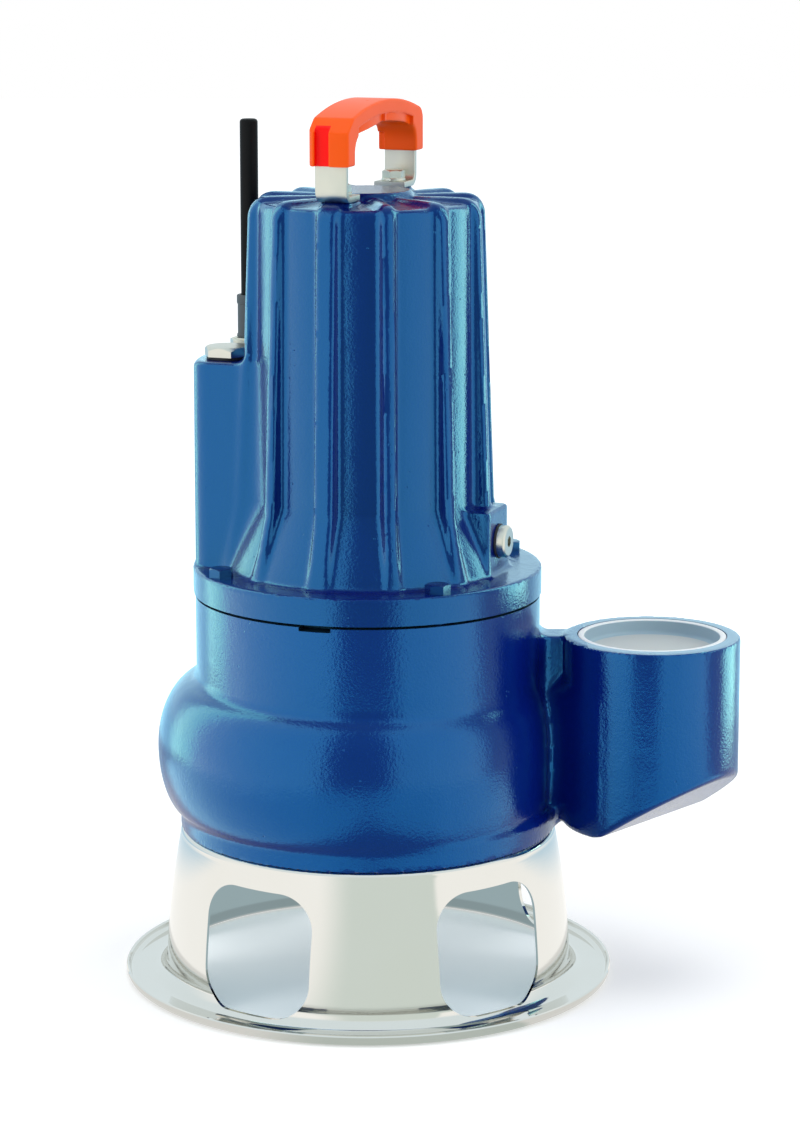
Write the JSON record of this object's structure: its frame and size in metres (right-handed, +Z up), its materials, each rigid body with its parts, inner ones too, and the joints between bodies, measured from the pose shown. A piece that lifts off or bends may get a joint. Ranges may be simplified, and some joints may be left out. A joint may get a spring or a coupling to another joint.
{
  "type": "submersible pump",
  "caption": "Submersible waste-water pump: ribbed motor housing with carry handle, cable and terminal box, spiral casing with an upturned screwed outlet, on a windowed stand.",
  "frame": {"origin": "on the shaft's axis, at the floor under the stand's foot ring", "axes": "+Z up along the shaft's axis; +X to the side of the outlet; -Y towards the viewer of the picture"},
  "size_m": [0.3081, 0.2458, 0.44],
  "materials": {
    "stainless_sheet": "polished stainless sheet",
    "stainless_fastener": "satin",
    "enamelled_iron": "glossy blue enamel over cast iron",
    "enamelled_steel": "glossy blue enamel",
    "bare_iron": "machined and cast",
    "pale_plastic": "satin",
    "seal_rubber": "matte",
    "spring_steel": "satin",
    "core_steel": "laminated, oiled",
    "winding_copper": "varnished copper wire",
    "shaft_steel": "ground",
    "cast_aluminium": "as cast",
    "bearing_steel": "ground",
    "ball_steel": "polished",
    "cage_brass": "pressed",
    "seal_ceramic": "lapped ceramic",
    "plated_steel": "satin zinc-nickel plating",
    "orange_plastic": "satin moulded",
    "grey_sleeve": "matte",
    "cable_rubber": "matte black sheath",
    "wire_insulation": "insulated copper cores"
  },
  "bodies": {
    "pump": {"stand": "stainless_sheet", "stand_screws": "stainless_fastener", "volute_casing": "enamelled_iron", "seal_plate": "bare_iron", "casing_oring": "seal_rubber", "motor_housing": "enamelled_iron", "flange_bolts": "enamelled_steel", "bearing_bracket": "bare_iron", "bracket_circlip": "spring_steel", "stator_core": "core_steel", "stator_windings": "winding_copper", "upper_bearing_outer_ring": "bearing_steel", "lower_bearing_outer_ring": "bearing_steel", "wave_washer": "spring_steel", "upper_seal_seat": "seal_ceramic", "lower_seal_seat": "seal_ceramic", "handle_strap": "plated_steel", "handle_grip": "orange_plastic", "handle_bolts": "plated_steel", "handle_washers": "plated_steel", "oil_plug": "plated_steel", "oil_plug_washer": "seal_rubber", "blanking_plug": "plated_steel", "blanking_plug_washer": "seal_rubber", "cable_gland": "plated_steel", "gland_sleeve": "grey_sleeve", "cable_tail": "cable_rubber", "lead_wires": "wire_insulation", "power_cable": "cable_rubber"},
    "rotor": {"shaft": "shaft_steel", "rotor_core": "core_steel", "rotor_cage": "cast_aluminium", "upper_bearing_inner_ring": "bearing_steel", "lower_bearing_inner_ring": "bearing_steel", "upper_seal_head": "seal_rubber", "lower_seal_head": "seal_rubber", "seal_spring": "spring_steel", "impeller": "bare_iron", "impeller_key": "shaft_steel", "impeller_washer": "stainless_fastener", "impeller_screw": "stainless_fastener"},
    "upper_balls": {"upper_bearing_balls": "ball_steel", "upper_bearing_cage": "cage_brass"},
    "lower_balls": {"lower_bearing_balls": "ball_steel", "lower_bearing_cage": "cage_brass"},
    "outlet_plug": {"port_plug": "pale_plastic"}
  },
  "joints": [
    {"name": "shaft_spin", "type": "hinge", "parent": "pump", "child": "rotor", "pos_m": [0, 0, 0.3], "axis": [0, 0, 1], "continuous": true},
    {"name": "upper_cage_spin", "type": "hinge", "parent": "pump", "child": "upper_balls", "pos_m": [0, 0, 0.3665], "axis": [0, 0, 1], "continuous": true},
    {"name": "lower_cage_spin", "type": "hinge", "parent": "pump", "child": "lower_balls", "pos_m": [0, 0, 0.248], "axis": [0, 0, 1], "continuous": true},
    {"name": "plug_lift", "type": "slide", "parent": "pump", "child": "outlet_plug", "axis": [0, 0, 1], "range_m": [0, 0.04]}
  ],
  "couplings": [
    {"joint": "upper_cage_spin", "follows": "shaft_spin", "ratio": 0.3645},
    {"joint": "lower_cage_spin", "follows": "shaft_spin", "ratio": 0.3815}
  ]
}
